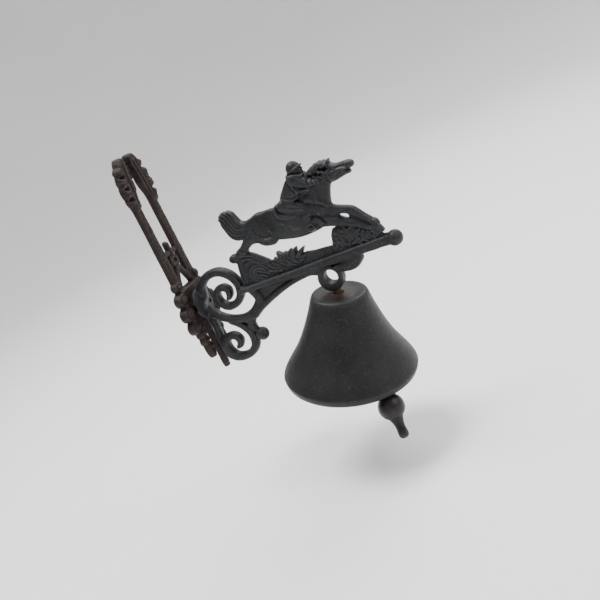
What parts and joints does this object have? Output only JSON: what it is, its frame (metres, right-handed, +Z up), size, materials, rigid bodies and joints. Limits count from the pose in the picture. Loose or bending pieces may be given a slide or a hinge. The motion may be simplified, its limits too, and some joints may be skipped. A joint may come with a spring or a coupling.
{
  "type": "wall-mounted dinner bell",
  "caption": "Cast-iron dinner bell hung from a scrolled wall bracket with a leaping horse and rider on its rail and an openwork wall plate.",
  "frame": {"origin": "on the wall face, midway between the two wall screw holes", "axes": "+X out from the wall along the arm, +Y across the wall, +Z up"},
  "size_m": [0.2036, 0.114, 0.2867],
  "materials": {
    "rusty_iron": "dark paint worn to brown rust",
    "black_iron": "satin black paint",
    "bell_iron": "satin charcoal paint, lightly worn",
    "clapper_iron": "semi-gloss dark paint over rust",
    "rusty_steel": "rusted steel"
  },
  "bodies": {
    "bracket": {"wall_bar_left": "rusty_iron", "wall_bar_right": "rusty_iron", "wall_crest_left": "rusty_iron", "wall_crest_right": "rusty_iron", "wall_top_eye": "rusty_iron", "wall_mid_eye": "rusty_iron", "wall_seat": "rusty_iron", "wall_leaves_left": "rusty_iron", "wall_leaves_right": "rusty_iron", "wall_tip": "rusty_iron", "arm_flange": "black_iron", "flange_boss": "black_iron", "arm_spine": "black_iron", "upper_scroll": "black_iron", "crescent_band": "black_iron", "lower_scroll": "black_iron", "scroll_gusset": "black_iron", "scroll_knob": "black_iron", "arch_rib": "black_iron", "arm_rail": "black_iron", "rail_ball": "black_iron", "rail_lobe": "black_iron", "hanger_ring": "black_iron", "log_stump": "black_iron", "ground_strip": "black_iron", "grass_tuft": "black_iron", "oak_bush": "black_iron", "horse_body": "black_iron", "horse_tail": "black_iron", "horse_hind_leg": "black_iron", "horse_upper_foreleg": "black_iron", "horse_lower_foreleg": "black_iron", "horse_head": "black_iron", "saddle": "black_iron", "rider_legs": "black_iron", "rider_body": "black_iron", "rider_head": "black_iron", "flange_screws": "rusty_steel", "bell_bolt": "rusty_steel", "bolt_nut": "rusty_steel"},
    "bell_seat": {"seat_washer": "rusty_steel"},
    "bell_cup": {"bell": "bell_iron"},
    "clapper_arm": {"clapper_loop": "rusty_steel", "clapper": "clapper_iron"}
  },
  "joints": [
    {"name": "bell_rock", "type": "hinge", "parent": "bracket", "child": "bell_seat", "pos_m": [0.1348, 0, -0.112], "axis": [0, 1, 0], "range_deg": [-32.1, 0.9]},
    {"name": "bell_spin", "type": "hinge", "parent": "bell_seat", "child": "bell_cup", "pos_m": [0.1348, 0, -0.112], "axis": [0.2689, 0, 0.9632], "continuous": true},
    {"name": "clapper_swing", "type": "hinge", "parent": "bracket", "child": "clapper_arm", "pos_m": [0.1348, 0, -0.1281], "axis": [0.8829, 0.4695, 0], "range_deg": [-1, 47.2]}
  ]
}
